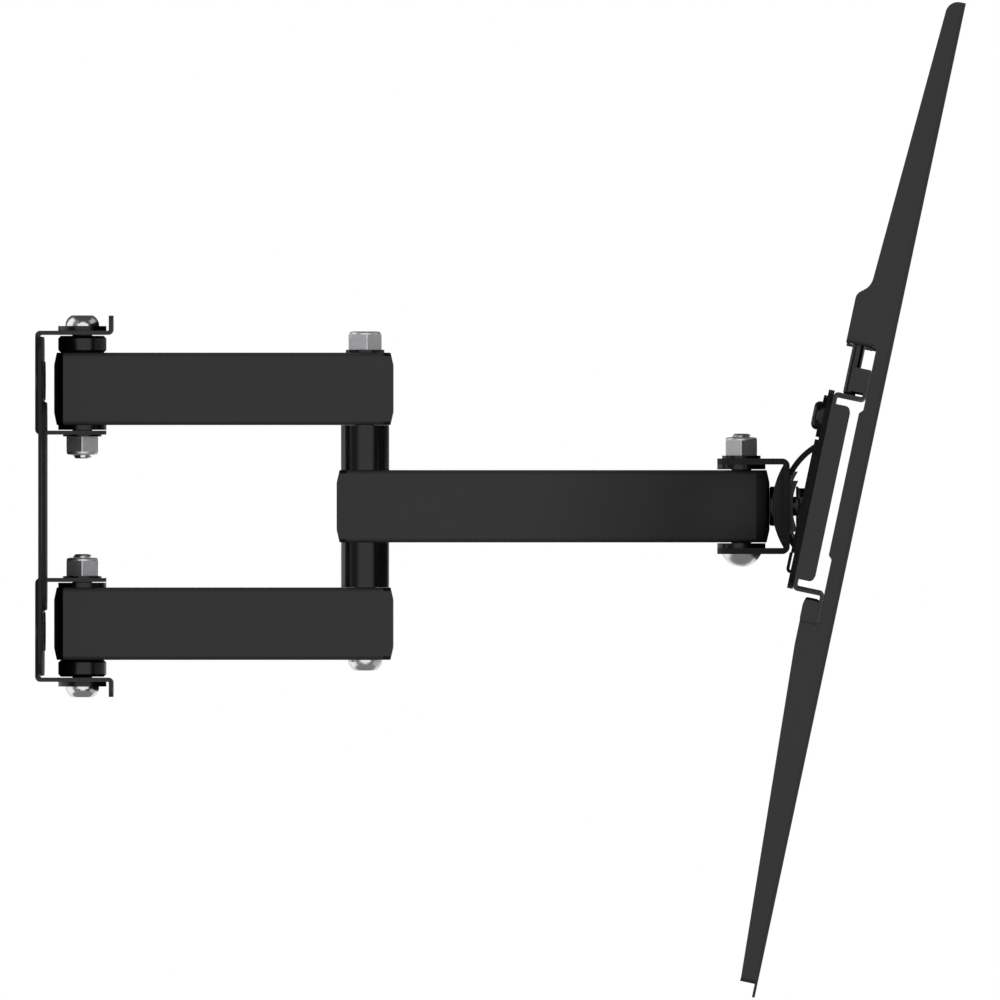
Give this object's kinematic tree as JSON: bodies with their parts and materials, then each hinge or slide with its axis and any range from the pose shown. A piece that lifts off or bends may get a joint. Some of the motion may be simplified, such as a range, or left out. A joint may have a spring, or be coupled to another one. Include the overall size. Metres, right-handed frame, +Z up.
{
  "type": "full motion tv wall mount",
  "caption": "Full motion TV wall mount: slotted wall plate, folding double and single swivel arms, curved tilt head, crossbar and two hooked sliding rails.",
  "frame": {"origin": "centre of the four wall slots, on the wall plate's back face", "axes": "+X from the wall into the room, square to the plate; +Y along the wall; +Z up; the arms lie along +X and the head is tilted fully forward"},
  "size_m": [0.3849, 0.4312, 0.4079],
  "materials": {
    "black_steel": "satin black powder coat",
    "black_plastic": "matte black",
    "zinc": "bright zinc plated",
    "black_screw": "black zinc",
    "nylon": "matte dark grey nylon"
  },
  "bodies": {
    "wall": {"wall_plate": "black_steel", "wall_bracket_upper": "black_steel", "wall_bracket_lower": "black_steel", "wall_pivot_bolts": "zinc", "wall_pivot_nuts": "zinc", "wall_head_washers": "black_screw", "wall_nut_washers": "black_screw"},
    "rear_arms": {"wall_bushes": "nylon", "wall_thrust_washers": "nylon", "rear_arm_upper": "black_steel", "rear_arm_lower": "black_steel", "rear_caps_upper": "black_plastic", "rear_caps_lower": "black_plastic", "elbow_bolt": "zinc", "elbow_washer": "black_screw", "elbow_nut": "zinc"},
    "front_arm": {"elbow_spacers": "black_steel", "elbow_bushes": "nylon", "front_arm": "black_steel", "front_caps": "black_plastic"},
    "swivel": {"clevis": "black_steel", "head_thrust_washers": "nylon", "head_pivot_bolt": "zinc", "head_pivot_washer": "black_screw", "head_pivot_nut": "zinc", "tilt_liner": "nylon", "tilt_inner_washer": "black_screw", "tilt_outer_washer": "zinc", "tilt_bolt": "zinc", "tilt_nut": "zinc"},
    "head": {"curved_plate": "black_steel", "head_plate": "black_steel", "head_screws": "zinc", "head_screw_washers": "black_screw", "head_screw_nuts": "zinc", "crossbar": "black_steel"},
    "left_screw": {"left_height_screw": "black_screw"},
    "left_rail": {"left_rail": "black_steel", "left_rail_nut": "zinc"},
    "right_screw": {"right_height_screw": "black_screw"},
    "right_rail": {"right_rail": "black_steel", "right_rail_nut": "zinc"}
  },
  "joints": [
    {"name": "wall_swivel", "type": "hinge", "parent": "wall", "child": "rear_arms", "pos_m": [0.0176, 0, 0], "axis": [0, 0, 1], "range_deg": [-90, 90]},
    {"name": "elbow_swivel", "type": "hinge", "parent": "rear_arms", "child": "front_arm", "pos_m": [0.1348, 0, 0], "axis": [0, 0, -1], "range_deg": [-150, 150]},
    {"name": "head_swivel", "type": "hinge", "parent": "front_arm", "child": "swivel", "pos_m": [0.2907, 0, 0], "axis": [0, 0, 1], "range_deg": [-90, 90]},
    {"name": "tilt", "type": "hinge", "parent": "swivel", "child": "head", "pos_m": [0.33676, 0, 0], "axis": [0, -1, 0], "range_deg": [0, 17]},
    {"name": "left_rail_slide", "type": "slide", "parent": "head", "child": "left_screw", "axis": [0, 1, 0], "range_m": [0, 0.15]},
    {"name": "left_rail_lift", "type": "slide", "parent": "left_screw", "child": "left_rail", "axis": [0.2079, 0, 0.9781], "range_m": [-0.009, 0]},
    {"name": "right_rail_slide", "type": "slide", "parent": "head", "child": "right_screw", "axis": [0, -1, 0], "range_m": [0, 0.15]},
    {"name": "right_rail_lift", "type": "slide", "parent": "right_screw", "child": "right_rail", "axis": [0.2079, 0, 0.9781], "range_m": [-0.009, 0]}
  ]
}
